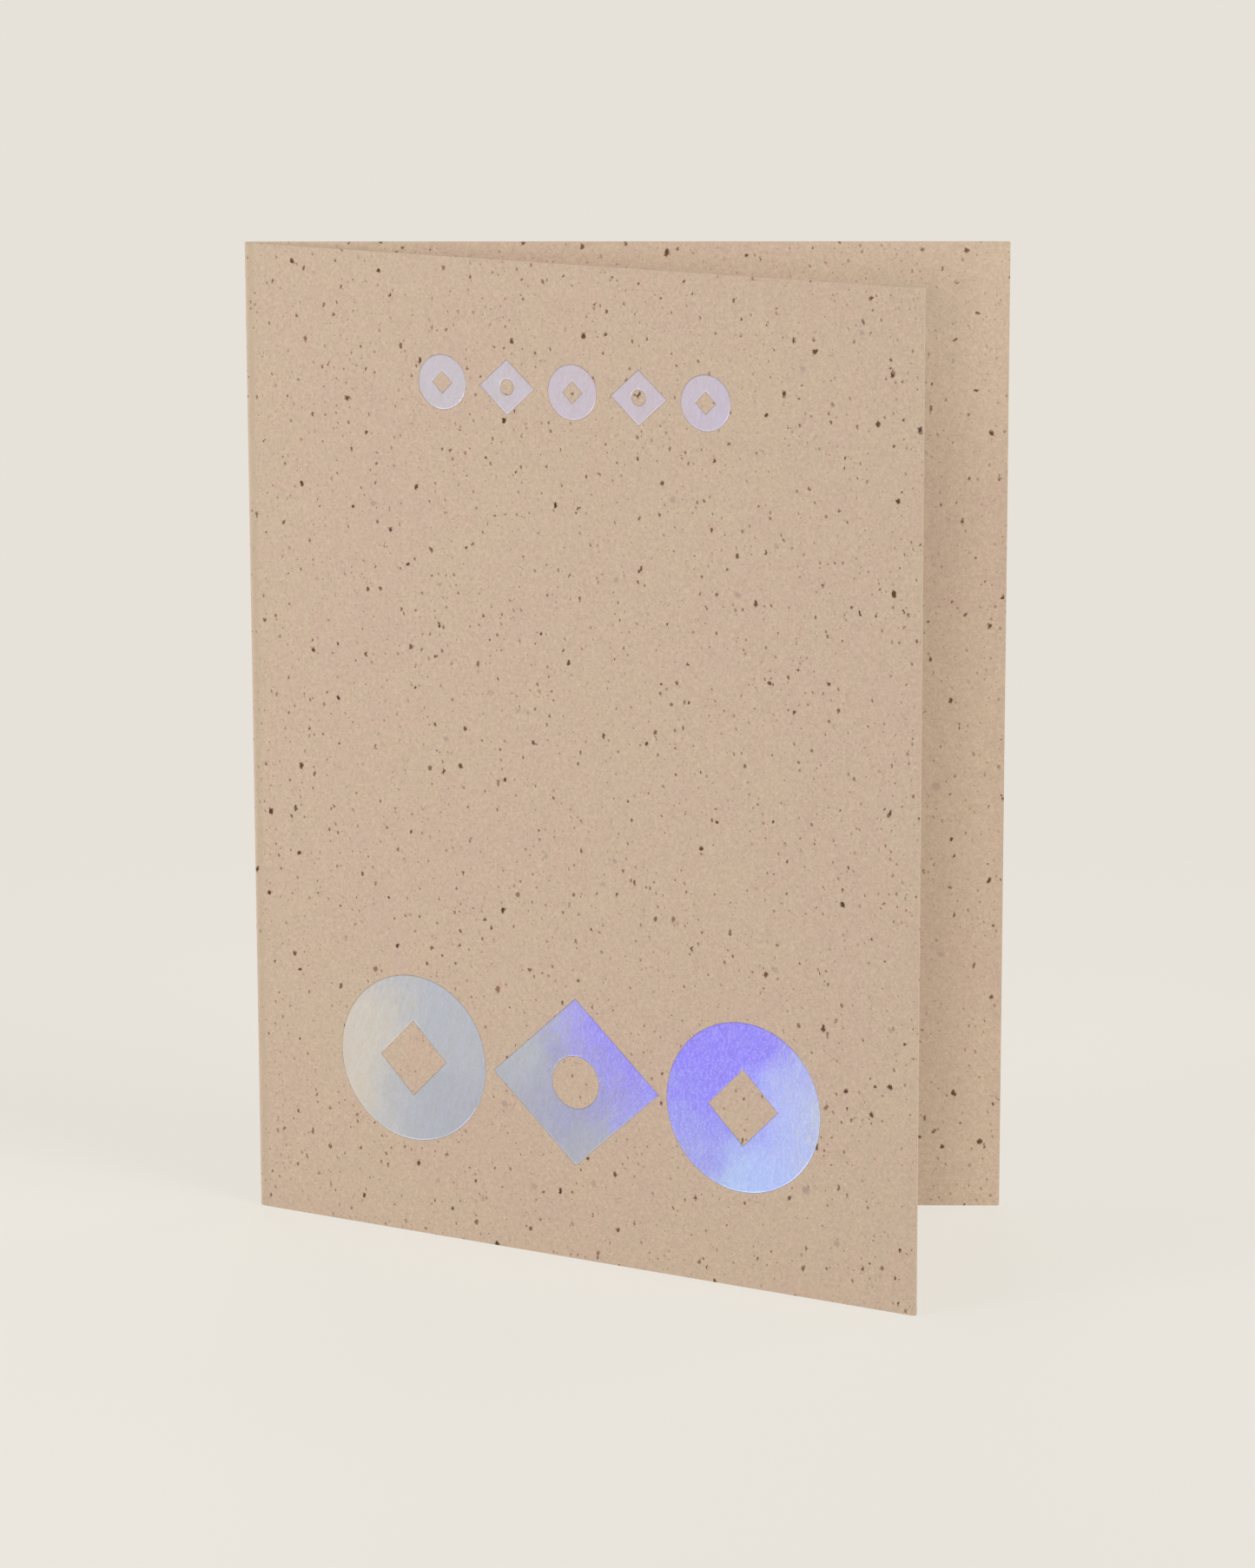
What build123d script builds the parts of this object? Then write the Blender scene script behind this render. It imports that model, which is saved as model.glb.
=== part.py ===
from build123d import *
import os
from math import cos, radians, sin

# A greeting card: one sheet of speckled card stock, scored and folded once, standing part open
# on its lower edges. Holographic foil is blocked into the front leaf, a little below its face.
#
# +Z runs up the fold, the back leaf lies along X, and the front leaf swings out towards -Y.
# The origin is the centre of the bounding box's base. Lengths are millimetres, angles degrees.

# The sheet
leaf_width = 107.0  # from the outside of the fold to a leaf's free edge
card_height = 140.0
sheet = 0.42
corner_radius = 0.25

# The fold
opening_angle = 29.0  # between the two leaves, as the card stands
fold_inside_radius = 0.35
score_depth = 0.06  # how far the creasing rule pressed the outside of the fold in
score_reach = 1.1  # how far its channel runs along each leaf
bead_height = 0.1  # how far the pressed fibres stand out inside the fold
bead_reach = 0.6

# The foil blocking
deboss_depth = 0.14
deboss_shoulder = 0.07  # radius where the leaf's face rolls over into a recess
foil_thickness = 0.03
foil_edge_gap = 0.02  # between a piece of foil and the wall of its recess

# The large row, a band of discs and lozenges across the foot of the front leaf
large_discs = 2
large_disc = 24.0
large_lozenge_width = 26.6
large_lozenge_height = 24.0
large_gap = 1.4
large_disc_window = 11.0
large_lozenge_window = 7.6
large_row_rise = 25.6  # from the card's foot up to the middle of the row

# The small row, the same band near the head of the leaf
small_discs = 3
small_disc = 7.6
small_lozenge_width = 8.6
small_lozenge_height = 7.6
small_gap = 2.3
small_disc_window = 3.2
small_lozenge_window = 2.2
small_row_drop = 17.4  # from the card's head down to the middle of the row

# The fold's own circles share one centre, and the leaves leave it along their tangents.
leaf_outer_radius = fold_inside_radius + sheet
fold_outer_radius = leaf_outer_radius - score_depth
fold_bead_radius = fold_inside_radius - bead_height
leaf_run = leaf_width - fold_outer_radius
opening_cos = cos(radians(opening_angle))
opening_sin = sin(radians(opening_angle))
card_depth = leaf_outer_radius * (1 + opening_cos) + leaf_run * opening_sin
fold_x = fold_outer_radius - leaf_width / 2
fold_y = card_depth / 2 - leaf_outer_radius

# The front leaf's outer face, read as a page: x from the fold to the free edge, y up the card.
leaf_direction = Vector(opening_cos, -opening_sin, 0)
leaf_outward = Vector(-opening_sin, -opening_cos, 0)
fold_centre = Vector(fold_x, fold_y, 0)
front_face = Plane(
    origin=fold_centre + leaf_outward * leaf_outer_radius - leaf_direction * fold_outer_radius,
    x_dir=leaf_direction,
    z_dir=leaf_outward,
)
recess_floor = front_face.offset(-deboss_depth)


def lozenge(width, height, mode=Mode.ADD):
    """Draws a lozenge that stands on its point, at each of the current locations."""
    half_width = width / 2
    half_height = height / 2
    Polygon((half_width, 0), (0, half_height), (-half_width, 0), (0, -half_height), mode=mode)


def bead_and_lozenge_row(plane, row_height, discs, disc, width, height, gap, disc_window, lozenge_window):
    """Draws a row of discs with lozenges between them, each with a window of the other's shape."""
    pitch = disc + 2 * gap + width
    with BuildSketch(plane) as row:
        with Locations((leaf_width / 2, row_height)):
            with GridLocations(pitch, pitch, discs, 1):
                Circle(disc / 2)
                lozenge(disc_window, disc_window, Mode.SUBTRACT)
            with GridLocations(pitch, pitch, discs - 1, 1):
                lozenge(width, height)
                Circle(lozenge_window / 2, mode=Mode.SUBTRACT)
    return row.sketch


def large_row(plane):
    """The row across the foot of the front leaf."""
    return bead_and_lozenge_row(
        plane, large_row_rise, large_discs, large_disc, large_lozenge_width,
        large_lozenge_height, large_gap, large_disc_window, large_lozenge_window,
    )


def small_row(plane):
    """The row near the head of the front leaf."""
    return bead_and_lozenge_row(
        plane, card_height - small_row_drop, small_discs, small_disc, small_lozenge_width,
        small_lozenge_height, small_gap, small_disc_window, small_lozenge_window,
    )


# The folded sheet, with the recesses that the hot die presses into its front leaf
with BuildPart() as folded_card:
    with BuildSketch(Plane(origin=fold_centre)) as section:
        with BuildLine() as back_leaf:
            Polyline(
                (0, fold_bead_radius),
                (bead_reach, fold_inside_radius),
                (leaf_run, fold_inside_radius),
                (leaf_run, leaf_outer_radius),
                (score_reach, leaf_outer_radius),
                (0, fold_outer_radius),
                close=True,
            )
        make_face()
        half_angle = radians(opening_angle / 2)
        mirror(about=Plane(origin=(0, 0, 0), z_dir=(sin(half_angle), cos(half_angle), 0)))
        with BuildLine() as bend:
            outside = CenterArc((0, 0), fold_outer_radius, 90, 180 - opening_angle)
            inside = CenterArc((0, 0), fold_bead_radius, 90, 180 - opening_angle)
            Line(outside @ 0, inside @ 0)
            Line(outside @ 1, inside @ 1)
        make_face()
    extrude(amount=card_height)
    back_corners = folded_card.edges().filter_by(Axis.Y)
    front_corners = folded_card.edges().filter_by(Axis((0, 0, 0), leaf_outward))
    fillet(back_corners + front_corners, radius=corner_radius)
    for outlines in (large_row(front_face), small_row(front_face)):
        extrude(outlines, amount=-deboss_depth, mode=Mode.SUBTRACT)
    pressed_faces = folded_card.faces().group_by(Axis(fold_centre, leaf_outward))[-1]
    leaf_outline = pressed_faces.sort_by(SortBy.AREA)[-1].outer_wire().edges()
    fillet(pressed_faces.edges() - leaf_outline, radius=deboss_shoulder)

# The foil, seated on the floors of the recesses
with BuildPart() as foil_large_row:
    with BuildSketch(recess_floor):
        add(large_row(Plane.XY))
        offset(amount=-foil_edge_gap)
    extrude(amount=foil_thickness)

with BuildPart() as foil_small_row:
    with BuildSketch(recess_floor):
        add(small_row(Plane.XY))
        offset(amount=-foil_edge_gap)
    extrude(amount=foil_thickness)

folded_card.part.label = "folded_card"
foil_large_row.part.label = "foil_large_row"
foil_small_row.part.label = "foil_small_row"

os.makedirs("parts", exist_ok=True)
export_step(folded_card.part, "parts/folded_card.step")
export_step(foil_large_row.part, "parts/foil_large_row.step")
export_step(foil_small_row.part, "parts/foil_small_row.step")
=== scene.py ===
"""A part-open greeting card of speckled stock, with holographic foil blocked into its front leaf.

The card stands as a V on its lower edges, on a plain pale floor. Forms are modelled in millimetres
and brought to metres when they are finished.
"""

import logging
import math
from collections.abc import Callable
from dataclasses import dataclass, replace
from enum import Enum
from functools import partial

import bmesh
import bpy
from mathutils import Matrix, Vector


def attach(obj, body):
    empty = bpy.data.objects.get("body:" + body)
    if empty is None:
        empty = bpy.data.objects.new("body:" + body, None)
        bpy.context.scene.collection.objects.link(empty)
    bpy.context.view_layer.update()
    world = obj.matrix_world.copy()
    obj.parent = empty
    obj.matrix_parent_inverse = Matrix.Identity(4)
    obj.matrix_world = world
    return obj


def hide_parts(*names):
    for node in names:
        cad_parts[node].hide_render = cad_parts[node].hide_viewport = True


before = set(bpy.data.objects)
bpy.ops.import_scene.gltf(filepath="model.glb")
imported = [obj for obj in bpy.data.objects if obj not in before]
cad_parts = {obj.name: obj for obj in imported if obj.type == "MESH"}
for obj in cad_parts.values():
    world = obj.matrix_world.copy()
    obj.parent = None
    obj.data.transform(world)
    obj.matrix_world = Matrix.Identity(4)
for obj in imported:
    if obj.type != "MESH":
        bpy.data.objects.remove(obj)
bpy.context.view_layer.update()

log = logging.getLogger("greeting_card")

MM = 0.001
"""One millimetre in metres."""

TOLERANCE = 0.002
"""How near two places are, in millimetres, that count as one."""

SMOOTH_BELOW = 35.0
"""Faces that meet at less than this angle, in degrees, are shaded as one curve."""

Colour = tuple[float, float, float]
"""Linear red, green and blue."""

Place = tuple[float, float, float]
"""A place in the scene, in metres."""

Element = bmesh.types.BMVert | bmesh.types.BMEdge | bmesh.types.BMFace
"""A corner, edge or face of a mesh."""

BLACK: Colour = (0.0, 0.0, 0.0)
WHITE: Colour = (1.0, 1.0, 1.0)


def linear(channel: int) -> float:
    """Turns one channel of a screen's colour, from 0 to 255, into light from 0 to 1."""
    value = channel / 255
    return value / 12.92 if value <= 0.04045 else ((value + 0.055) / 1.055) ** 2.4


def tint(red: int, green: int, blue: int) -> Colour:
    """Turns a colour as it is seen on a screen into the light that a shader works with."""
    return linear(red), linear(green), linear(blue)


class Part(Enum):
    """What is picked on a mesh, by the name that the mesh tools have for it."""

    CORNER = "VERT"
    EDGE = "EDGE"
    FACE = "FACE"


class Step(Enum):
    """A modifier that is applied to a piece at once."""

    CUT = "BOOLEAN"
    THICKEN = "SOLIDIFY"
    WEIGH_NORMALS = "WEIGHTED_NORMAL"


class Bench:
    """The modelling bench: selects by place, and runs the mesh tools on one piece at a time."""

    def __init__(self, piece: bpy.types.Object) -> None:
        """Puts a piece on the bench, alone in the selection."""
        self.piece = piece
        self.take_up()

    def take_up(self) -> None:
        """Makes the piece the only one that is selected, and the active one."""
        bpy.ops.object.select_all(action="DESELECT")
        self.piece.select_set(True)
        bpy.context.view_layer.objects.active = self.piece

    @classmethod
    def start(cls, add: Callable[..., set[str]], **settings: object) -> "Bench":
        """Adds a primitive with nothing else selected, and puts it on a bench.

        Args:
            add: The tool that adds it.
            settings: That tool's own settings.

        Returns:
            The bench with the primitive on it.
        """
        bpy.ops.object.select_all(action="DESELECT")
        add(**settings)
        return cls(bpy.context.active_object)

    def twin(self) -> "Bench":
        """Copies the piece with a mesh of its own.

        Returns:
            A bench with the copy on it.
        """
        twin = self.piece.copy()
        twin.data = self.piece.data.copy()
        bpy.context.scene.collection.objects.link(twin)
        return Bench(twin)

    def edit(self, part: Part) -> bmesh.types.BMesh:
        """Opens edit mode with nothing selected.

        Args:
            part: What is picked there.

        Returns:
            The mesh under edit.
        """
        bpy.ops.object.mode_set(mode="EDIT")
        bpy.ops.mesh.select_mode(type=part.value)
        bpy.ops.mesh.select_all(action="DESELECT")
        return bmesh.from_edit_mesh(self.piece.data)

    def pick(self, part: Part, wanted: Callable[[Element], bool]) -> int:
        """Selects the corners, edges or faces that pass a test, in edit mode.

        Args:
            part: Which of the three.
            wanted: The test.

        Returns:
            How many passed.
        """
        mesh = self.edit(part)
        choices = {Part.CORNER: mesh.verts, Part.EDGE: mesh.edges, Part.FACE: mesh.faces}
        found = [element for element in choices[part] if wanted(element)]
        for element in found:
            element.select_set(True)
        bmesh.update_edit_mesh(self.piece.data)
        return len(found)

    def leave(self) -> None:
        """Goes back to object mode."""
        bpy.ops.object.mode_set(mode="OBJECT")

    def fix_place(self) -> None:
        """Puts the piece's place, turn and size into its mesh."""
        bpy.ops.object.transform_apply(location=True, rotation=True, scale=True)

    def apply(self, step: Step, **settings: object) -> None:
        """Adds a modifier to the piece and applies it at once.

        Args:
            step: Which modifier.
            settings: The modifier's own settings.
        """
        modifier = self.piece.modifiers.new(step.name.lower(), step.value)
        for name, value in settings.items():
            setattr(modifier, name, value)
        bpy.ops.object.modifier_apply(modifier=modifier.name)

    def cut(self, tool: bpy.types.Object) -> None:
        """Cuts a tool's form out of the piece, and clears the tool away."""
        self.apply(Step.CUT, operation="DIFFERENCE", object=tool, solver="EXACT")
        bpy.data.objects.remove(tool)

    def to_metres(self) -> None:
        """Brings a piece that was modelled in millimetres to metres."""
        self.piece.scale = (MM, MM, MM)
        self.fix_place()


@dataclass(frozen=True)
class CardSizes:
    """The card's driving sizes, in millimetres and degrees, as its maker would write them."""

    leaf_width: float = 107.0
    card_height: float = 140.0
    sheet: float = 0.42
    corner_radius: float = 0.25
    opening_angle: float = 29.0
    fold_inside_radius: float = 0.35
    score_depth: float = 0.06
    score_reach: float = 1.1
    bead_height: float = 0.10
    bead_reach: float = 0.6
    deboss_depth: float = 0.14
    deboss_draft: float = 0.12
    deboss_shoulder: float = 0.06
    deboss_root: float = 0.11
    cut_edge: float = 0.03
    foil_thickness: float = 0.03

    @property
    def opening(self) -> float:
        """The angle between the leaves, in radians."""
        return math.radians(self.opening_angle)

    @property
    def leaf_outer_radius(self) -> float:
        """From the bend's centre to a leaf's outer face."""
        return self.fold_inside_radius + self.sheet

    @property
    def fold_outer_radius(self) -> float:
        """From the bend's centre to the bottom of the creased channel."""
        return self.leaf_outer_radius - self.score_depth

    @property
    def leaf_run(self) -> float:
        """From the bend's centre to a leaf's free edge."""
        return self.leaf_width - self.fold_outer_radius

    @property
    def card_depth(self) -> float:
        """From the back leaf's outer face to the front leaf's free edge."""
        bend = self.leaf_outer_radius * (1 + math.cos(self.opening))
        return bend + self.leaf_run * math.sin(self.opening)

    @property
    def fold_centre(self) -> Vector:
        """The bend's centre, on the floor."""
        from_middle = self.card_depth / 2 - self.leaf_outer_radius
        return Vector((self.fold_outer_radius - self.leaf_width / 2, from_middle, 0))

    @property
    def along_front(self) -> Vector:
        """The way from the fold to the front leaf's free edge."""
        return Vector((math.cos(self.opening), -math.sin(self.opening), 0))

    @property
    def out_of_front(self) -> Vector:
        """The way that the front leaf's outer face looks."""
        return Vector((-math.sin(self.opening), -math.cos(self.opening), 0))

    @property
    def page_corner(self) -> Vector:
        """The foot of the front leaf's outer face, at the outside of the fold."""
        out = self.out_of_front * self.leaf_outer_radius
        return self.fold_centre + out - self.along_front * self.fold_outer_radius

    @property
    def root_rise(self) -> float:
        """How far a recess's soft root climbs its wall."""
        return self.deboss_root * self.deboss_depth / math.hypot(self.deboss_depth, self.deboss_draft)

    @property
    def eased_reach(self) -> float:
        """How far in from a cut edge the faces lie that ease it."""
        return 2 * self.cut_edge

    def to_free_ends(self, place: Vector) -> tuple[float, float]:
        """How far a place lies short of the back leaf's and of the front leaf's free end."""
        return self.leaf_width / 2 - place.x, self.leaf_width - self.across_front(place)

    def across_front(self, place: Vector) -> float:
        """How far a place lies across the front leaf, from the outside of the fold."""
        return (place - self.page_corner).dot(self.along_front)

    def above_front(self, place: Vector) -> float:
        """How far a place lies above the front leaf's outer face."""
        return (place - self.page_corner).dot(self.out_of_front)

    def front_matrix(self, across: float, up: float) -> Matrix:
        """Sets up a frame on the front leaf's outer face: X across the leaf, Y up it and Z out of it.

        Args:
            across: From the outside of the fold to the frame's middle.
            up: From the card's foot to the frame's middle.

        Returns:
            The frame's matrix.
        """
        middle = self.page_corner + self.along_front * across + Vector((0, 0, up))
        axes = Matrix((self.along_front, Vector((0, 0, 1)), self.out_of_front)).transposed().to_4x4()
        return Matrix.Translation(middle) @ axes


class Signal:
    """A shader socket that Python's arithmetic works on, one Math node for each operation."""

    def __init__(self, board: "Board", socket: bpy.types.NodeSocket) -> None:
        """Wraps an output socket of a node that stands on a board."""
        self.board = board
        self.socket = socket

    def sibling(self, output: str | int) -> "Signal":
        """Another output of the same node."""
        return Signal(self.board, self.socket.node.outputs[output])

    def __add__(self, other: "Term") -> "Signal":
        """The sum of two terms."""
        return self.board.maths("ADD", self, other)

    def __radd__(self, other: "Term") -> "Signal":
        """The sum of two terms, the other way round."""
        return self.board.maths("ADD", other, self)

    def __sub__(self, other: "Term") -> "Signal":
        """The difference of two terms."""
        return self.board.maths("SUBTRACT", self, other)

    def __rsub__(self, other: "Term") -> "Signal":
        """The difference of two terms, the other way round."""
        return self.board.maths("SUBTRACT", other, self)

    def __mul__(self, other: "Term") -> "Signal":
        """The product of two terms."""
        return self.board.maths("MULTIPLY", self, other)

    def __rmul__(self, other: "Term") -> "Signal":
        """The product of two terms, the other way round."""
        return self.board.maths("MULTIPLY", other, self)

    def __truediv__(self, other: "Term") -> "Signal":
        """The quotient of two terms."""
        return self.board.maths("DIVIDE", self, other)

    def __rtruediv__(self, other: "Term") -> "Signal":
        """The quotient of two terms, the other way round."""
        return self.board.maths("DIVIDE", other, self)


Term = Signal | float | int
"""What takes part in shader arithmetic."""


class Board:
    """A node board, on which every node of a material or the world is set and wired."""

    def __init__(self, owner: bpy.types.Material | bpy.types.World) -> None:
        """Clears the owner's nodes.

        Args:
            owner: The material or world that the board belongs to.
        """
        owner.use_nodes = True
        self.tree = owner.node_tree
        self.tree.nodes.clear()

    def node(
        self, kind: str, settings: dict[str, object], inputs: dict[str | int, object], output: str | int = 0
    ) -> Signal | None:
        """Adds a node.

        Args:
            kind: The node's type, without its "ShaderNode".
            settings: Its own settings.
            inputs: Its sockets, by name or number, with their values or links.
            output: The output socket that is wanted.

        Returns:
            That output, or None where the node has none.
        """
        node = self.tree.nodes.new("ShaderNode" + kind)
        for name, value in settings.items():
            setattr(node, name, value)
        for name, value in inputs.items():
            socket = node.inputs[name]
            if isinstance(value, Signal):
                self.tree.links.new(value.socket, socket)
            elif socket.type == "RGBA":
                socket.default_value = (*value, 1.0)
            else:
                socket.default_value = value
        return Signal(self, node.outputs[output]) if len(node.outputs) else None

    def maths(self, operation: str, first: Term, second: Term = 0.0) -> Signal:
        """One Math node, on two terms."""
        return self.node("Math", {"operation": operation}, {0: first, 1: second})

    def step(self, value: Term, low: float | Signal, high: float | Signal) -> Signal:
        """A smooth step from 0 at the low end to 1 at the high end."""
        ends = {"Value": value, "From Min": low, "From Max": high}
        return self.node("MapRange", {"interpolation_type": "SMOOTHSTEP"}, ends)

    def blend(self, share: Term, first: Colour | Signal, second: Colour | Signal) -> Signal:
        """Mixes two colours, with the given share of the second."""
        settings = {"data_type": "RGBA", "blend_type": "MIX"}
        return self.node("Mix", settings, {0: share, 6: first, 7: second}, 2)

    def multiply(self, first: Colour | Signal, second: Colour | Signal) -> Signal:
        """Multiplies two colours."""
        settings = {"data_type": "RGBA", "blend_type": "MULTIPLY"}
        return self.node("Mix", settings, {0: 1.0, 6: first, 7: second}, 2)

    def grey(self, tone: Signal) -> Signal:
        """Makes a tone a grey colour."""
        return self.node("CombineColor", {}, {0: tone, 1: tone, 2: tone})

    def place(self) -> Signal:
        """The place on the piece, in millimetres."""
        metres = self.node("TexCoord", {}, {}, "Object")
        return self.node("VectorMath", {"operation": "SCALE"}, {0: metres, "Scale": 1 / MM})

    def coordinate(self, place: Signal, axis: str) -> Signal:
        """One of a place's three numbers, X, Y or Z."""
        return self.node("SeparateXYZ", {}, {"Vector": place}, axis)

    def stretched(self, place: Signal, turn: float, scale: tuple[float, float, float]) -> Signal:
        """The place within a pattern that leans on the leaves, in degrees, and is larger by a scale."""
        inputs = {"Vector": place, "Rotation": (0, math.radians(turn), 0), "Scale": scale}
        return self.node("Mapping", {"vector_type": "TEXTURE"}, inputs)

    def noise(self, place: Signal, size: float, detail: float) -> Signal:
        """A soft random field about 0.5, with swells of a size; its sibling "Color" is three of them."""
        inputs = {"Vector": place, "Scale": 1 / size, "Detail": detail}
        return self.node("TexNoise", {"normalize": True}, inputs, "Fac")

    def swing(self, field: Signal, reach: Term) -> Signal:
        """Centres a random field on 0, and gives it a reach."""
        return (field - 0.5) * reach

    def relief(self, depth: float, height: Signal) -> Signal:
        """Turns a height from 0 to 1 into a bumped normal, for relief of a depth in millimetres."""
        return self.node("Bump", {}, {"Strength": 1.0, "Distance": depth * MM, "Height": height})

    def surface(self, inputs: dict[str | int, object]) -> None:
        """Makes one shader of the given sockets the material's surface."""
        shader = self.node("BsdfPrincipled", {}, inputs)
        self.node("OutputMaterial", {}, {"Surface": shader})


@dataclass(frozen=True)
class Flecks:
    """One kind of fleck in the stock. Lengths are millimetres.

    A fleck is a blob in space, and the sheet's surface cuts it where it lies.

    Attributes:
        cell: The size of the cells, each of which holds one fleck.
        smallest: The smallest fleck's radius.
        largest: The largest fleck's radius.
        stretch: How many times longer a fleck is than it is wide.
        turn: How far it leans, in degrees.
        dark: The darkest fleck's colour.
        light: The palest fleck's colour.
        strength: How much it covers.
        softness: How much of its radius is a soft edge.
    """

    cell: float
    smallest: float
    largest: float
    stretch: float
    turn: float
    dark: Colour
    light: Colour
    strength: float
    softness: float

    def add(self, board: Board, place: Signal, ground: Signal) -> Signal:
        """Scatters the flecks over a ground colour.

        Args:
            board: The board to work on.
            place: The place on the piece, in millimetres, already ruffled so that the flecks are ragged.
            ground: The colour beneath.

        Returns:
            The colour with the flecks on it.
        """
        cells = board.stretched(place, self.turn, (self.cell, self.cell, self.cell * self.stretch))
        settings = {"voronoi_dimensions": "3D", "feature": "F1", "distance": "EUCLIDEAN"}
        inputs = {"Vector": cells, "Scale": 1.0, "Randomness": 1.0}
        distance = board.node("TexVoronoi", settings, inputs, "Distance")
        size_lot = board.node("SeparateColor", {}, {"Color": distance.sibling("Color")}, 0)
        tone_lot = size_lot.sibling(1)
        spread = (self.largest - self.smallest) / self.cell
        radius = size_lot * size_lot * spread + self.smallest / self.cell
        there = 1 - board.step(distance, radius * (1 - self.softness), radius)
        colour = board.blend(tone_lot, self.dark, self.light)
        return board.blend(there * self.strength, ground, colour)


@dataclass(frozen=True)
class CardStock:
    """Uncoated recycled stock: kraft-like, mottled, flecked with bran and fibre, with an eggshell tooth.

    Lengths are millimetres. A tone is how much a field lightens and darkens the stock, and a pair is
    the two ends of a smooth step.
    """

    name: str = "speckled_card_stock"
    shade: float = 1.0

    ground: Colour = tint(207, 184, 163)
    ground_share: float = 0.25
    mauve: Colour = tint(209, 183, 165)
    khaki: Colour = tint(206, 185, 162)
    hue_ends: tuple[float, float] = (0.34, 0.66)
    hue_mottle: float = 0.6
    hue_cloud: float = 0.4

    cloud_size: float = 22.0
    cloud_tone: float = 0.04
    mottle_size: float = 3.4
    mottle_tone: float = 0.06
    tooth_size: float = 0.60
    tooth_tone: float = 0.30
    grain_size: float = 0.26
    grain_tone: float = 0.34

    # Painted shade in the creased channel beside the fold, and a painted highlight on the fold's outer
    # curve.
    crease_shade: Colour = tint(196, 180, 152)
    crease_shade_strength: float = 0.45
    crease_shade_rise: tuple[float, float] = (0.30, 0.55)
    crease_shade_fall: tuple[float, float] = (0.8, 1.5)
    fold_highlight: Colour = tint(224, 198, 180)
    fold_highlight_strength: float = 0.7
    fold_highlight_fall: tuple[float, float] = (0.10, 0.45)

    fine_ruffle: float = 0.16
    fine_flecks: tuple[Flecks, ...] = (
        Flecks(0.66, 0.08, 0.19, 1.3, 20, tint(152, 120, 94), tint(184, 154, 128), 0.66, 0.7),
        Flecks(1.05, 0.11, 0.29, 1.4, -12, tint(118, 80, 58), tint(176, 144, 116), 0.86, 0.6),
        Flecks(2.40, 0.05, 0.10, 8.0, 35, tint(124, 90, 68), tint(180, 150, 124), 0.60, 0.6),
    )
    coarse_ruffle: float = 0.36
    coarse_flecks: tuple[Flecks, ...] = (
        Flecks(4.60, 0.28, 0.70, 1.2, -70, tint(158, 134, 134), tint(172, 154, 132), 0.50, 0.6),
        Flecks(1.95, 0.16, 0.40, 1.5, 12, tint(84, 50, 34), tint(154, 118, 92), 0.94, 0.5),
        Flecks(4.50, 0.30, 0.58, 1.25, 8, tint(66, 38, 26), tint(108, 68, 46), 0.97, 0.5),
    )

    tooth_depth: float = 0.045
    tooth_height: float = 0.7
    grain_height: float = 0.3
    roughness: float = 0.88
    tooth_polish: float = 0.06
    sheen: float = 0.3

    def material(self, sizes: CardSizes) -> bpy.types.Material:
        """Builds the stock's material.

        Args:
            sizes: The card's sizes, for the place of the fold.

        Returns:
            The material.
        """
        material = bpy.data.materials.new(self.name)
        board = Board(material)
        place = board.place()
        tooth = board.noise(place, self.tooth_size, 2.0)
        grain = board.noise(place, self.grain_size, 1.0)
        colour = self.mottled(board, place, tooth, grain)
        # Painted shade and painted highlight at the fold.
        colour = self.folded(board, board.coordinate(place, "X") + sizes.leaf_width / 2, colour)
        colour = self.flecked(board, place, colour)
        height = tooth * self.tooth_height + grain * self.grain_height
        board.surface(
            {
                "Base Color": colour,
                "Roughness": self.roughness - tooth * self.tooth_polish,
                "Specular IOR Level": self.sheen,
                "Normal": board.relief(self.tooth_depth, height),
            }
        )
        return material

    def mottled(self, board: Board, place: Signal, tooth: Signal, grain: Signal) -> Signal:
        """Mottles the ground colour in two hues, and in tone.

        Args:
            board: The board to work on.
            place: The place on the piece, in millimetres.
            tooth: The tooth's height.
            grain: The grain's height.

        Returns:
            The colour.
        """
        mottle = board.noise(place, self.mottle_size, 3.0)
        cloud = board.noise(place, self.cloud_size, 1.0)
        hue = board.step(mottle * self.hue_mottle + cloud * self.hue_cloud, *self.hue_ends)
        colour = board.blend(self.ground_share, board.blend(hue, self.mauve, self.khaki), self.ground)
        wide = board.swing(cloud, self.cloud_tone) + board.swing(mottle, self.mottle_tone)
        tone = wide + board.swing(tooth, self.tooth_tone) + board.swing(grain, self.grain_tone) + self.shade
        return board.multiply(colour, board.grey(tone))

    def folded(self, board: Board, from_fold: Signal, colour: Signal) -> Signal:
        """Paints shade into the crease beside the fold, and a highlight on the fold itself.

        Args:
            board: The board to work on.
            from_fold: How far the place lies from the outside of the fold, in millimetres.
            colour: The colour beneath.

        Returns:
            The colour with the painted shade and the painted highlight of the fold.
        """
        # Painted shade: the crease beside the fold is darkened.
        crease_shade = board.step(from_fold, *self.crease_shade_rise) * (1 - board.step(from_fold, *self.crease_shade_fall))
        colour = board.blend(crease_shade * self.crease_shade_strength, colour, self.crease_shade)
        # Painted highlight: the fold's outer curve is lightened.
        fold_highlight = 1 - board.step(from_fold, *self.fold_highlight_fall)
        return board.blend(fold_highlight * self.fold_highlight_strength, colour, self.fold_highlight)

    def flecked(self, board: Board, place: Signal, colour: Signal) -> Signal:
        """Scatters the fine flecks and then the coarse ones.

        Args:
            board: The board to work on.
            place: The place on the piece, in millimetres.
            colour: The colour beneath.

        Returns:
            The colour with all flecks on it.
        """
        for ruffle, kinds in (
            (self.fine_ruffle, self.fine_flecks),
            (self.coarse_ruffle, self.coarse_flecks),
        ):
            place = self.ruffled(board, place, ruffle)
            for flecks in kinds:
                colour = flecks.add(board, place, colour)
        return colour

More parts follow.
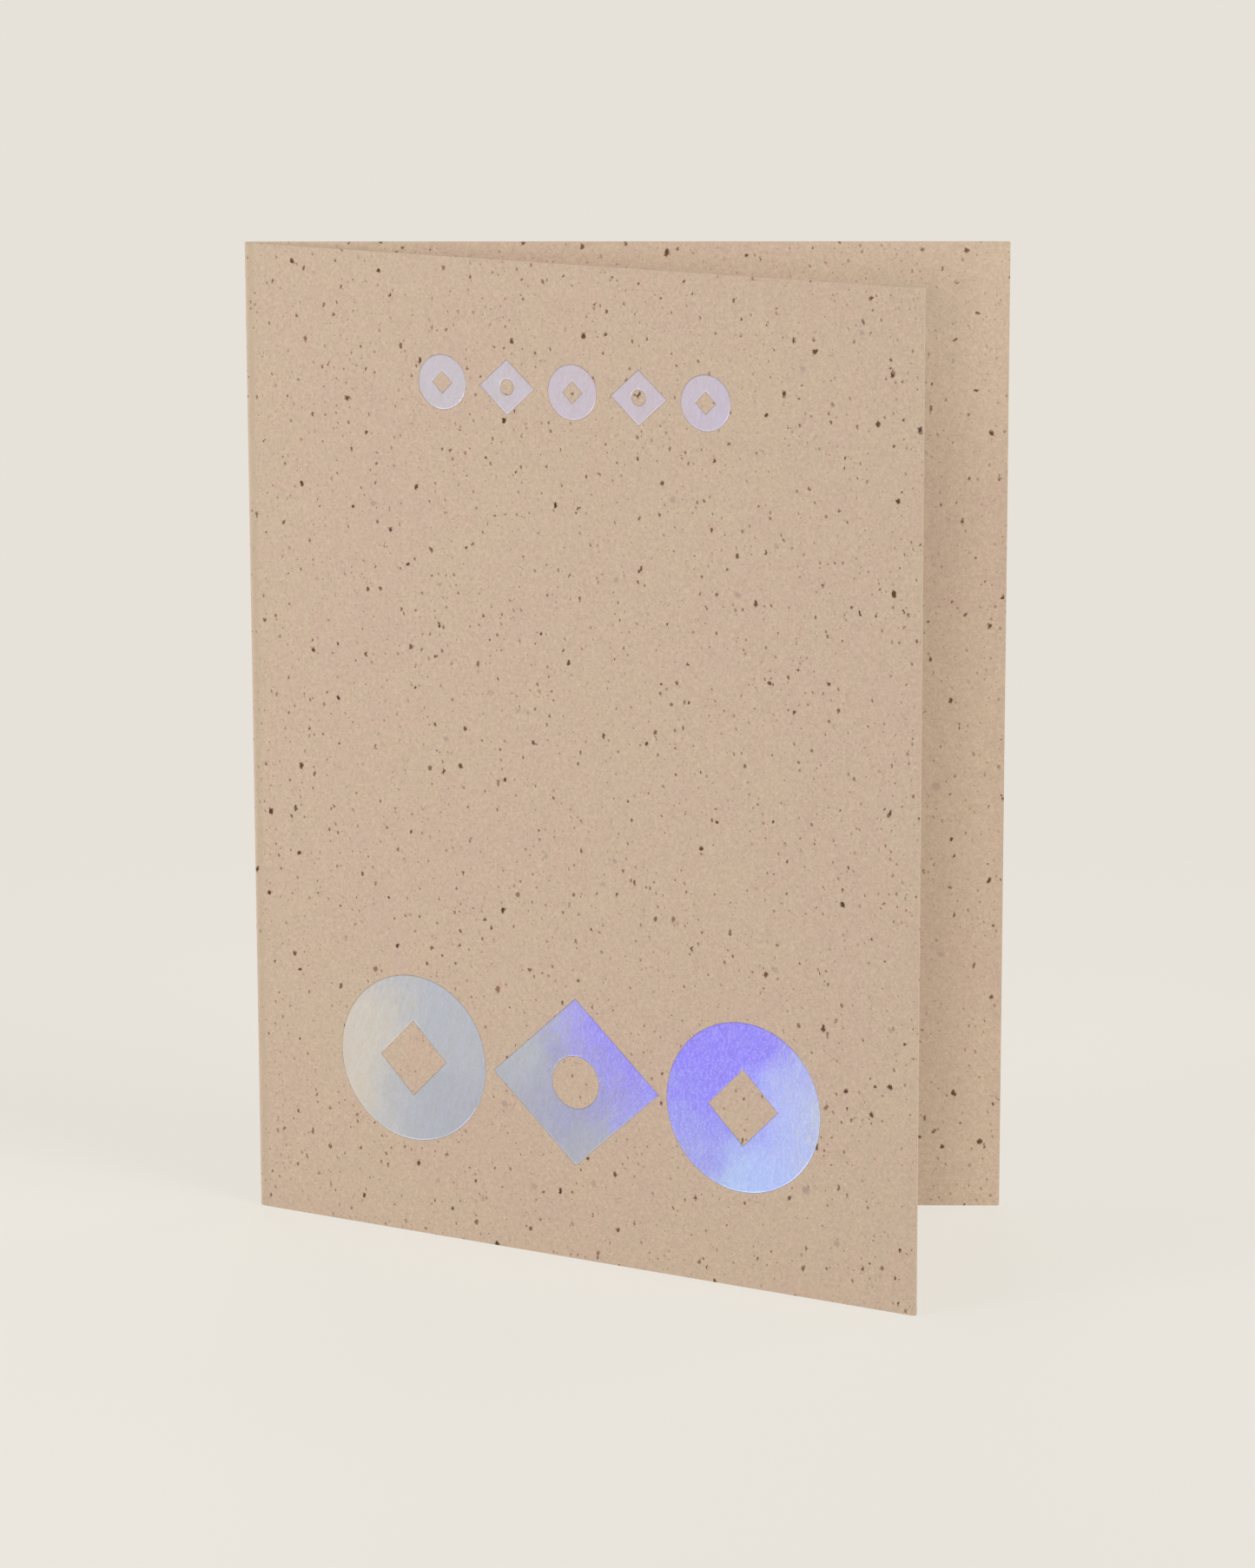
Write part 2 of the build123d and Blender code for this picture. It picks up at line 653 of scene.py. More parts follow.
    @staticmethod
    def ruffled(board: Board, place: Signal, reach: float) -> Signal:
        """Ruffles the place, so that what is scattered on it gets ragged edges.

        Args:
            board: The board to work on.
            place: The place on the piece, in millimetres.
            reach: How far it is moved about, which is also about half the size of the ruffles.

        Returns:
            The ruffled place.
        """
        wander = board.noise(place, 2 * reach, 1.0).sibling("Color")
        centred = board.node("VectorMath", {"operation": "SUBTRACT"}, {0: wander, 1: (0.5, 0.5, 0.5)})
        shift = board.node("VectorMath", {"operation": "SCALE"}, {0: centred, "Scale": 2 * reach})
        return board.node("VectorMath", {"operation": "ADD"}, {0: place, 1: shift})


CARD_STOCK = CardStock()
HEAD_EDGE = CardStock(name="cut_card_head", shade=0.98, tooth_size=0.22, grain_size=0.10, tooth_depth=0.08)
# Painted shade: the free edges are darker than the head and foot, which holds down the light of the
# right-hand lamp on them.
SHADED_FREE_EDGE = replace(HEAD_EDGE, name="cut_card_edge_painted_shade", shade=0.80)
# Painted shade: the walls of the recesses are darker, for the shade that falls in them.
RECESS_WALL_SHADE = CardStock(name="recess_wall_painted_shade", shade=0.66, tooth_depth=0.01)


@dataclass(frozen=True)
class Pool:
    """One soft pool of colour in the foil. Its place and reach are millimetres on the leaf.

    Attributes:
        across: The place of its middle, from the fold.
        up: The height of its middle above the card's foot.
        reach_across: How far it reaches to each side.
        reach_up: How far it reaches up and down.
        colour: The foil's colour in it.
        strength: How much of it there is at its middle.
        painted_glow: Light that the foil sends out there as emission, a painted glow besides its colour.
        relief: How strongly the foil's leather shows there.
        fade: Where its edge begins and ends, in parts of its reach.
    """

    across: float
    up: float
    reach_across: float
    reach_up: float
    colour: Colour
    strength: float
    painted_glow: Colour = BLACK
    relief: float = 0.15
    fade: tuple[float, float] = (0.35, 1.25)

    def share(self, board: Board, across: Signal, up: Signal) -> Signal:
        """How much of the pool there is at each place.

        Args:
            board: The board to work on.
            across: The place across the leaf.
            up: The place up the leaf.

        Returns:
            The pool's share, from 0 to its strength.
        """
        x = (across - self.across) / self.reach_across
        y = (up - self.up) / self.reach_up
        distance = board.maths("SQRT", x * x + y * y)
        return (1 - board.step(distance, *self.fade)) * self.strength


@dataclass(frozen=True)
class HolographicFoil:
    """Satin stamping foil with pools of violet and pale blue, a painted glow in the blue pools, and a fine
    grain with painted glints.

    Lengths are millimetres. A tone is how much a field lightens and darkens the foil, and a pair is
    the two ends of a smooth step.
    """

    name: str
    ground: Colour
    pools: tuple[Pool, ...]
    relief: float = 0.15

    wander_size: float = 9.0
    wander: float = 14.0
    streak_turn: float = 18.0
    streak_length: float = 4.0
    streak_size: float = 0.55
    streak: float = 9.0

    veil_size: float = 0.75
    veil_ends: tuple[float, float] = (0.34, 0.66)
    veil_warm: Colour = (0.99, 0.98, 0.96)
    veil_cool: Colour = (1.01, 1.02, 1.04)

    leather_size: float = 0.32
    leather_share: float = 0.6
    scratch_share: float = 0.4
    leather_tone: float = 0.20
    relief_tone: float = 0.30
    grain_size: float = 0.18
    grain_tone: float = 0.18

    # Painted glints and painted highlights on the leather's crests, mixed into the base colour.
    painted_glint: Colour = tint(238, 242, 255)
    glint_size: float = 0.24
    glint_ends: tuple[float, float] = (0.66, 0.80)
    crest_ends: tuple[float, float] = (0.46, 0.62)
    crest_light: float = 0.15
    glint_light: float = 0.10
    relief_glint: float = 0.5

    metal: float = 0.65
    roughness: float = 0.38
    glint_polish: float = 0.10
    grain_depth: float = 0.022
    grain_height: float = 0.3
    leather_height: float = 0.7

    def material(self, sizes: CardSizes) -> bpy.types.Material:
        """Builds the foil's material.

        Args:
            sizes: The card's sizes, for the leaf's own axes.

        Returns:
            The material.
        """
        material = bpy.data.materials.new(self.name)
        board = Board(material)
        place = board.place()
        streak = board.stretched(place, self.streak_turn, (1, 1, self.streak_length))
        colour, painted_glow, relief = self.pooled(board, place, streak, sizes)
        veil = board.step(board.noise(streak, self.veil_size, 2.0), *self.veil_ends)
        colour = board.multiply(colour, board.blend(veil, self.veil_warm, self.veil_cool))
        grain = board.noise(place, self.grain_size, 1.0)
        soft = board.noise(place, self.leather_size, 2.0) * self.leather_share
        leather = soft + board.noise(streak, self.glint_size, 1.0) * self.scratch_share
        tone = board.swing(leather, self.leather_tone + relief * self.relief_tone)
        shade = board.grey(tone + board.swing(grain, self.grain_tone) + 1.0)
        # Painted glints: bright specks and the leather's crests are mixed towards a pale colour.
        sparkle = board.step(board.noise(place, self.glint_size, 1.0), *self.glint_ends)
        crest_highlight = board.step(leather, *self.crest_ends) * relief * self.crest_light
        light = crest_highlight + sparkle * (self.glint_light + relief * self.relief_glint)
        height = grain * self.grain_height + leather * self.leather_height
        board.surface(
            {
                # The base colour carries the painted glints and crest highlights.
                "Base Color": board.blend(light, board.multiply(colour, shade), self.painted_glint),
                "Metallic": self.metal,
                "Roughness": self.roughness - sparkle * self.glint_polish,
                # Painted glow: the blue pools send out a little light of their own.
                "Emission Color": board.multiply(painted_glow, shade),
                "Emission Strength": 1.0,
                "Normal": board.relief(self.grain_depth, height),
            }
        )
        return material

    def pooled(
        self, board: Board, place: Signal, streak: Signal, sizes: CardSizes
    ) -> tuple[Signal, Signal, Signal]:
        """Lays the pools over the ground, with edges that wander and break into streaks.

        Args:
            board: The board to work on.
            place: The place on the piece, in millimetres.
            streak: The place within the streaks.
            sizes: The card's sizes, for the leaf's own axes.

        Returns:
            The foil's colour, its painted glow, and the strength of its relief.
        """
        way = sizes.along_front
        along = board.node("VectorMath", {"operation": "DOT_PRODUCT"}, {0: place, 1: way}, "Value")
        across = along - sizes.page_corner.dot(way)
        up = board.coordinate(place, "Z")
        drift = board.noise(place, self.wander_size, 2.0) - 0.5
        streaks = board.noise(streak, self.streak_size, 2.0) - 0.5
        across = across + drift * self.wander + streaks * self.streak
        up = up - drift * self.wander + streaks * self.streak
        colour = self.ground
        painted_glow = BLACK
        relief = self.relief
        for pool in self.pools:
            share = pool.share(board, across, up)
            colour = board.blend(share, colour, pool.colour)
            painted_glow = board.blend(share, painted_glow, pool.painted_glow)
            relief = relief + (pool.relief - relief) * share
        return colour, painted_glow, relief


LARGE_ROW_FOIL = HolographicFoil(
    name="holographic_foil_large",
    ground=tint(193, 198, 211),
    pools=(
        # Where a pool has a colour after its strength, that is its painted glow, sent out as emission.
        Pool(14, 27, 14, 18, tint(220, 213, 203), 0.9),
        Pool(46, 16, 20, 14, tint(183, 187, 204), 0.9),
        Pool(54, 25, 9, 10, tint(168, 168, 218), 0.55, (0.0, 0.0, 0.02), 0.4),
        Pool(61, 37, 14, 9, tint(174, 166, 252), 0.8, (0.0, 0.0, 0.10), 0.8),
        Pool(75, 33, 22, 18, tint(160, 150, 250), 1.0, (0.0, 0.0, 0.17), 1.0),
        Pool(74, 21, 15, 7, tint(168, 172, 250), 0.7, (0.0, 0.0, 0.13), 1.0),
        Pool(83, 12, 12, 9, tint(188, 211, 252), 0.9, (0.0, 0.02, 0.14), 1.0),
        Pool(92, 26, 8, 20, tint(197, 209, 244), 0.85, (0.0, 0.0, 0.10), 0.9),
        Pool(85, 22, 6, 12, tint(191, 206, 252), 0.55, (0.0, 0.01, 0.19), 1.0),
        Pool(95, 28, 5, 14, tint(208, 220, 236), 0.6, (0.0, 0.0, 0.06), 0.7),
    ),
)

SMALL_ROW_FOIL = HolographicFoil(
    name="holographic_foil_small",
    ground=tint(209, 199, 214),
    pools=(
        Pool(32, 122, 14, 14, tint(207, 202, 213), 0.8),
        Pool(78, 118, 10, 10, tint(207, 198, 222), 0.8),
    ),
)


class Figure(Enum):
    """The two figures that an ornament row repeats in turn."""

    DISC = "disc"
    LOZENGE = "lozenge"


@dataclass(frozen=True)
class OrnamentRow:
    """A row of discs with lozenges between them. Each has a window of the other's shape.

    up is the height of the row's middle above the card's foot.
    """

    name: str
    discs: int
    disc: float
    lozenge_width: float
    lozenge_height: float
    gap: float
    disc_window: float
    lozenge_window: float
    up: float

    def figures(self, leaf_width: float) -> list[tuple[Figure, float]]:
        """Lays the figures out across the leaf.

        Args:
            leaf_width: The width that the row is centred on.

        Returns:
            Each figure with the place of its middle, from the fold.
        """
        step = self.disc / 2 + self.gap + self.lozenge_width / 2
        count = 2 * self.discs - 1
        first = leaf_width / 2 - step * (count - 1) / 2
        kinds = (Figure.DISC, Figure.LOZENGE)
        return [(kinds[i % 2], first + i * step) for i in range(count)]


LARGE_ROW = OrnamentRow(
    name="large_foil_row",
    discs=2,
    disc=24.0,
    lozenge_width=26.6,
    lozenge_height=24.0,
    gap=1.4,
    disc_window=11.0,
    lozenge_window=7.6,
    up=25.6,
)

SMALL_ROW = OrnamentRow(
    name="small_foil_row",
    discs=3,
    disc=7.6,
    lozenge_width=8.6,
    lozenge_height=7.6,
    gap=2.3,
    disc_window=3.2,
    lozenge_window=2.2,
    up=122.6,
)


class Side(Enum):
    """A side of the sheet, by the way that it lies from the sheet's middle."""

    OUTER = 1
    INNER = -1


@dataclass
class SheetEnd:
    """The growing end of a sheet, which is drawn on, bent and turned like a strip of card.

    Its end face is kept selected on the bench. The middle is that face's, the heading is the way that
    the sheet grows, and outward is the way from the sheet's inner side to its outer side.
    """

    bench: Bench
    thickness: float
    middle: Vector
    heading: Vector
    outward: Vector

    def take(self) -> None:
        """Selects the end face on the bench."""
        self.bench.pick(Part.FACE, self.is_end)

    def is_end(self, face: bmesh.types.BMFace) -> bool:
        """Whether a face is the end face."""
        return (face.calc_center_median() - self.middle).length < TOLERANCE

    def is_corner(self, side: Side, corner: bmesh.types.BMVert) -> bool:
        """Whether a corner of the mesh belongs to one long edge of the end face.

        Args:
            side: Which of its two long edges.
            corner: The corner.

        Returns:
            Whether it does.
        """
        place = corner.co - self.middle
        level = abs(place.dot(self.heading)) < TOLERANCE
        return level and 0 < side.value * place.dot(self.outward) < self.thickness

    def grow(self, length: float, outer_move: float = 0.0, inner_move: float = 0.0) -> None:
        """Draws the end on, and moves its two long edges in or out.

        Args:
            length: How far the end goes.
            outer_move: How far the outer edge moves outwards meanwhile.
            inner_move: How far the inner edge moves outwards meanwhile.
        """
        bpy.ops.mesh.extrude_region_move(TRANSFORM_OT_translate={"value": self.heading * length})
        self.middle = self.middle + self.heading * length
        for side, move in ((Side.OUTER, outer_move), (Side.INNER, inner_move)):
            self.bench.pick(Part.CORNER, partial(self.is_corner, side))
            bpy.ops.transform.translate(value=self.outward * move)
        self.middle = self.middle + self.outward * (outer_move + inner_move) / 2
        self.take()

    def bend(self, centre: Vector, angle: float, steps: int) -> None:
        """Turns the end about an upright line.

        Args:
            centre: A point on the line.
            angle: How far to turn, in radians, anticlockwise from above.
            steps: How many flats make up the bend.
        """
        # Spin turns the other way for an angle above 0.
        bpy.ops.mesh.spin(steps=steps, angle=-angle, center=centre, axis=(0, 0, 1), use_auto_merge=False)
        turn = Matrix.Rotation(angle, 3, "Z")
        self.middle = centre + turn @ (self.middle - centre)
        self.heading = turn @ self.heading
        self.outward = turn @ self.outward


class Draft(Enum):
    """How a prism's sides slope on the way up, out of the leaf."""

    WIDENING = 1
    NARROWING = -1


@dataclass
class FoldedSheet:
    """The one sheet of card: two leaves, the scored fold, and the recesses of the foil.

    cut_angle and rim_angle, in degrees, tell the edges that are rounded from the small turns between
    the steps of a curve. shoulder_share is how much of a recess's depth its shoulder takes up.
    """

    sizes: CardSizes
    rows: tuple[OrnamentRow, ...]
    bend_steps: int = 16
    ramp_steps: int = 6
    corner_steps: int = 5
    eased_steps: int = 2
    disc_sides: int = 128
    window_sides: int = 64
    lozenge_sides: int = 4
    shoulder_steps: int = 4
    shoulder_share: float = 0.1
    cut_angle: float = 80.0
    rim_angle: float = 30.0
    stock: CardStock = CARD_STOCK
    head_edge: CardStock = HEAD_EDGE
    shaded_free_edge: CardStock = SHADED_FREE_EDGE
    recess_wall_shade: CardStock = RECESS_WALL_SHADE

    def build(self) -> bpy.types.Object:
        """Models the sheet in millimetres, from its back leaf round to its front leaf.

        Returns:
            The sheet's object.
        """
        bench = self.back_leaf()
        self.fold_and_front_leaf(bench)
        self.round_corners(bench)
        self.press_recesses(bench)
        bench.piece.name = "card_sheet"
        return bench.piece

    def dress(self, sheet: bpy.types.Object) -> None:
        """Gives the sheet its stock, and finishes of their own to the cut edges and the recess walls; the
        free edges and the walls carry painted shade.

        Args:
            sheet: The sheet, in millimetres.
        """
        bench = Bench(sheet)
        sheet.data.materials.append(self.stock.material(self.sizes))
        for finish, wanted in (
            (self.head_edge, self.at_head_or_foot),
            # Painted shade on the free edges.
            (self.shaded_free_edge, self.at_free_edge),
            # Painted shade on the recess walls.
            (self.recess_wall_shade, self.in_recess_wall),
        ):
            sheet.data.materials.append(finish.material(self.sizes))
            found = bench.pick(Part.FACE, wanted)
            log.info("%s: %d faces", finish.name, found)
            sheet.active_material_index = len(sheet.data.materials) - 1
            bpy.ops.object.material_slot_assign()
            bench.leave()

    def at_head_or_foot(self, face: bmesh.types.BMFace) -> bool:
        """Whether a face belongs to the sheet's cut head or foot."""
        height = face.calc_center_median().z
        return min(height, self.sizes.card_height - height) < self.sizes.eased_reach

    def at_free_edge(self, face: bmesh.types.BMFace) -> bool:
        """Whether a face belongs to the cut edge at a leaf's free end."""
        return min(self.sizes.to_free_ends(face.calc_center_median())) < self.sizes.eased_reach

    def in_recess_wall(self, face: bmesh.types.BMFace) -> bool:
        """Whether a face belongs to the wall of a recess, between the leaf's face and the foil.

        Args:
            face: The face.

        Returns:
            Whether it does.
        """
        middle = face.calc_center_median()
        depth = -self.sizes.above_front(middle)
        low, high = self.wall_depths
        return low < depth < high and self.on_open_leaf(middle)

    @property
    def wall_depths(self) -> tuple[float, float]:
        """The depths between which a recess's wall lies, below its shoulder and above its floor."""
        return self.sizes.deboss_depth * self.shoulder_share, self.sizes.deboss_depth - TOLERANCE

    def on_open_leaf(self, place: Vector) -> bool:
        """Whether a place lies well inside the leaf's outline, where the ornament is.

        Args:
            place: The place.

        Returns:
            Whether it does.
        """
        s = self.sizes
        margin = 2 * s.score_reach
        across = s.across_front(place)
        return margin < across < s.leaf_width - margin and margin < place.z < s.card_height - margin

    def on_free_line(self, place: Vector) -> bool:
        """Whether a place lies just where one of the leaves ends."""
        return min(abs(short) for short in self.sizes.to_free_ends(place)) < TOLERANCE

    def is_free_corner(self, edge: bmesh.types.BMEdge) -> bool:
        """Whether an edge runs through the sheet's thickness at a leaf's free corner.

        Args:
            edge: The edge.

        Returns:
            Whether it does.
        """
        first, last = (corner.co for corner in edge.verts)
        level = abs(first.z - last.z) < TOLERANCE
        short = (first - last).length < 2 * self.sizes.sheet
        return level and short and self.on_free_line(first) and self.on_free_line(last)

    def is_cut(self, edge: bmesh.types.BMEdge) -> bool:
        """Whether an edge is as sharp as the knife left it."""
        return edge.calc_face_angle(0) > math.radians(self.cut_angle)

    def is_rim(self, level: float, edge: bmesh.types.BMEdge) -> bool:
        """Whether an edge goes round a recess at one level of the front leaf.

        Args:
            level: The level, above the leaf's outer face.
            edge: The edge.

        Returns:
            Whether it does.
        """
        sharp = edge.calc_face_angle(0) > math.radians(self.rim_angle)
        return sharp and all(
            abs(self.sizes.above_front(corner.co) - level) < TOLERANCE
            and self.on_open_leaf(corner.co)
            for corner in edge.verts
        )

    def back_leaf(self) -> Bench:
        """Cuts the back leaf as far as the creased channel.

        Returns:
            The bench with the leaf on it.
        """
        s = self.sizes
        length = s.leaf_run - s.score_reach
        middle = self.score_line() + Vector((length / 2, 0, 0))
        size = (length, s.sheet, s.card_height)
        bench = Bench.start(bpy.ops.mesh.primitive_cube_add, size=1, location=middle, scale=size)
        bench.fix_place()
        return bench

    def score_line(self) -> Vector:
        """The middle of the back leaf's section where the creased channel begins."""
        s = self.sizes
        return s.fold_centre + Vector((s.score_reach, s.fold_inside_radius + s.sheet / 2, s.card_height / 2))

    def fold_and_front_leaf(self, bench: Bench) -> None:
        """Draws the sheet on through the fold and out to the front leaf's free edge.

        Args:
            bench: The bench with the back leaf on it.
        """
        s = self.sizes
        end = SheetEnd(bench, s.sheet, self.score_line(), Vector((-1, 0, 0)), Vector((0, 1, 0)))
        end.take()
        for length, outer_move, inner_move in self.ramp():
            end.grow(length, outer_move, inner_move)
        end.bend(s.fold_centre, math.pi - s.opening, self.bend_steps)
        for length, outer_move, inner_move in reversed(self.ramp()):
            end.grow(length, -outer_move, -inner_move)
        end.grow(s.leaf_run - s.score_reach)
        bpy.ops.mesh.select_all(action="SELECT")
        bpy.ops.mesh.remove_doubles(threshold=TOLERANCE / 2)
        bpy.ops.mesh.normals_make_consistent(inside=False)
        bench.leave()

    def ramp(self) -> list[tuple[float, float, float]]:
        """Divides the run into the fold, where the channel deepens and the bead swells.

        Returns:
            For each step its length, and the moves of the outer and inner side.
        """
        s = self.sizes
        length = s.score_reach / self.ramp_steps
        places = [s.score_reach - i * length for i in range(self.ramp_steps + 1)]
        channel = [self.swell(place, s.score_reach, s.score_depth) for place in places]
        bead = [self.swell(place, s.bead_reach, s.bead_height) for place in places]
        return [
            (length, channel[i] - channel[i + 1], bead[i] - bead[i + 1])
            for i in range(self.ramp_steps)
        ]

    @staticmethod
    def swell(place: float, reach: float, height: float) -> float:
        """How high a smooth swell stands at a place, from its height at 0 to nothing at its reach."""
        share = min(1.0, place / reach)
        return height * (1 - share * share * (3 - 2 * share))

    def round_corners(self, bench: Bench) -> None:
        """Rounds the free corners, and takes the sharpness off the cut edges.

        Args:
            bench: The bench with the folded sheet on it.
        """
        s = self.sizes
        for what, wanted, radius, steps in (
            ("free corners rounded", self.is_free_corner, s.corner_radius, self.corner_steps),
            ("cut edges eased", self.is_cut, s.cut_edge, self.eased_steps),
        ):
            found = bench.pick(Part.EDGE, wanted)
            log.info("%s: %d", what, found)
            bpy.ops.mesh.bevel(offset=radius, segments=steps, affect="EDGES")
            bench.leave()

    def press_recesses(self, bench: Bench) -> None:
        """Presses the rows' recesses into the front leaf, with soft shoulders and roots.

        Args:
            bench: The bench with the folded sheet on it.
        """
        s = self.sizes
        for row in self.rows:
            dies = {kind: self.die(row, kind) for kind in Figure}
            for kind, across in row.figures(s.leaf_width):
                punch = dies[kind].twin()
                punch.piece.matrix_world = s.front_matrix(across, row.up)
                punch.fix_place()
                bench.take_up()
                bench.cut(punch.piece)
            for die in dies.values():
                bpy.data.objects.remove(die.piece)
        for level, radius in ((0.0, s.deboss_shoulder), (-s.deboss_depth, s.deboss_root)):
            found = bench.pick(Part.EDGE, partial(self.is_rim, level))
            log.info("recess edges rounded at %.2f mm: %d", level, found)
            bpy.ops.mesh.bevel(offset=radius, segments=self.shoulder_steps, affect="EDGES")
            bench.leave()

    def die(self, row: OrnamentRow, kind: Figure) -> Bench:
        """Makes the die of one figure, as deep as its recess and with sloping sides.

        Args:
            row: The row that the figure belongs to.
            kind: Which figure.

        Returns:
            The bench with the die on it.
        """
        if kind is Figure.DISC:
            window = self.prism(self.lozenge_sides, row.disc_window, row.disc_window, Draft.NARROWING)
            body = self.prism(self.disc_sides, row.disc, row.disc, Draft.WIDENING)
        else:
            window = self.prism(self.window_sides, row.lozenge_window, row.lozenge_window, Draft.NARROWING)
            body = self.prism(self.lozenge_sides, row.lozenge_width, row.lozenge_height, Draft.WIDENING)
        bench = Bench(body)
        bench.cut(window)
        return bench

    def prism(self, sides: int, width: float, height: float, draft: Draft) -> bpy.types.Object:
        """Makes a prism that stands through the leaf's face, with a corner at its top.

        Its sides slope, and have the wanted size at half the recess's depth. A window's prism goes
        twice as deep as the recess, and so right through the die.

        Args:
            sides: How many sides it has.
            width: Its size across.
            height: Its size up.
            draft: How its sides slope.

        Returns:
            The prism's object.
        """
        s = self.sizes
        reach = s.deboss_depth if draft is Draft.WIDENING else 2 * s.deboss_depth
        to_side = width / 2
        if sides == self.lozenge_sides:
            to_side = width * height / math.hypot(width, height) / 2
        slope = draft.value * s.deboss_draft / s.deboss_depth
        foot, head = (
            0.5 * (1 + slope * (level + s.deboss_depth / 2) / to_side)
            for level in (-reach, reach)
        )
        bench = Bench.start(
            bpy.ops.mesh.primitive_cone_add, vertices=sides, radius1=foot, radius2=head, depth=2 * reach
        )
        bench.piece.scale = (width, height, 1)
        bench.fix_place()
        return bench.piece


@dataclass
class FoilSkin:
    """The foil that the die leaves on a row's floors, turned up a little at their walls."""

    sizes: CardSizes
    row: OrnamentRow
    finish: HolographicFoil
    node: str

    def build(self, sheet: bpy.types.Object) -> bpy.types.Object:
        """Lifts the foil off the recesses as a copy of their floors, and gives it its thickness.

        Args:
            sheet: The pressed sheet, not yet dressed.

        Returns:
            The foil's object.
        """
        bench = Bench(sheet)
        found = bench.pick(Part.FACE, self.is_floor)
        log.info("%s: %d faces of foil", self.row.name, found)
        bpy.ops.mesh.duplicate()
        bpy.ops.mesh.separate(type="SELECTED")
        bench.leave()
        foil = next(piece for piece in bpy.context.selected_objects if piece is not sheet)
        bench = Bench(foil)
        bench.apply(Step.THICKEN, thickness=self.sizes.foil_thickness, offset=1.0, use_even_offset=True)
        foil.name = self.row.name
        return foil

    def is_floor(self, face: bmesh.types.BMFace) -> bool:
        """Whether a face belongs to the floor or the soft root of one of the row's recesses.

        Args:
            face: The face.

        Returns:
            Whether it does.
        """
        s = self.sizes
        if abs(face.calc_center_median().z - self.row.up) > self.row.disc:
            return False
        if face.normal.dot(s.out_of_front) < -TOLERANCE:
            return False
        return all(
            -TOLERANCE < s.above_front(corner.co) + s.deboss_depth < s.root_rise + TOLERANCE
            for corner in face.verts
        )

    def dress(self, foil: bpy.types.Object) -> None:
        """Gives the foil its finish."""
        foil.data.materials.append(self.finish.material(self.sizes))


@dataclass(frozen=True)
class Lamp:
    """What every lamp in the studio has."""

    name: str
    in_gloss: bool

    def put_up(self, light: bpy.types.Light, shine: Vector) -> bpy.types.Object:
        """Puts the lamp's light in the scene and turns it.

        Args:
            light: The light.
            shine: The way that it shines.

        Returns:
            The light's object.
        """
        holder = bpy.data.objects.new(self.name, light)
        bpy.context.scene.collection.objects.link(holder)
        holder.visible_glossy = self.in_gloss
        holder.rotation_euler = shine.to_track_quat("-Z", "Y").to_euler()
        return holder


@dataclass(frozen=True)
class Softbox(Lamp):
    """A square softbox that looks at the middle of the card. Lengths are metres, its power watts."""

    place: Place
    size: float
    power: float
    aim: Place = (0.0, 0.0, 0.07)

    def hang(self) -> None:
        """Hangs the softbox."""
        light = bpy.data.lights.new(self.name, "AREA")
        light.size = self.size
        light.energy = self.power
        holder = self.put_up(light, Vector(self.aim) - Vector(self.place))
        holder.location = self.place


@dataclass(frozen=True)
class DistantLamp(Lamp):
    """A broad distant lamp. Angles are degrees.

    Attributes:
        azimuth: Where it hangs, to the right of straight in front.
        elevation: Its height above the horizon.
        spread: How wide it looks.
        strength: Its strength.
        colour: Its colour.
    """

    azimuth: float
    elevation: float
    spread: float
    strength: float
    colour: Colour = WHITE

    def hang(self) -> None:
        """Hangs the lamp."""
        light = bpy.data.lights.new(self.name, "SUN")
        light.angle = math.radians(self.spread)
        light.energy = self.strength
        light.color = self.colour
        turn = math.radians(self.azimuth)
        rise = math.radians(self.elevation)
        level = math.cos(rise)
        source = Vector((math.sin(turn) * level, -math.cos(turn) * level, math.sin(rise)))
        self.put_up(light, -source)


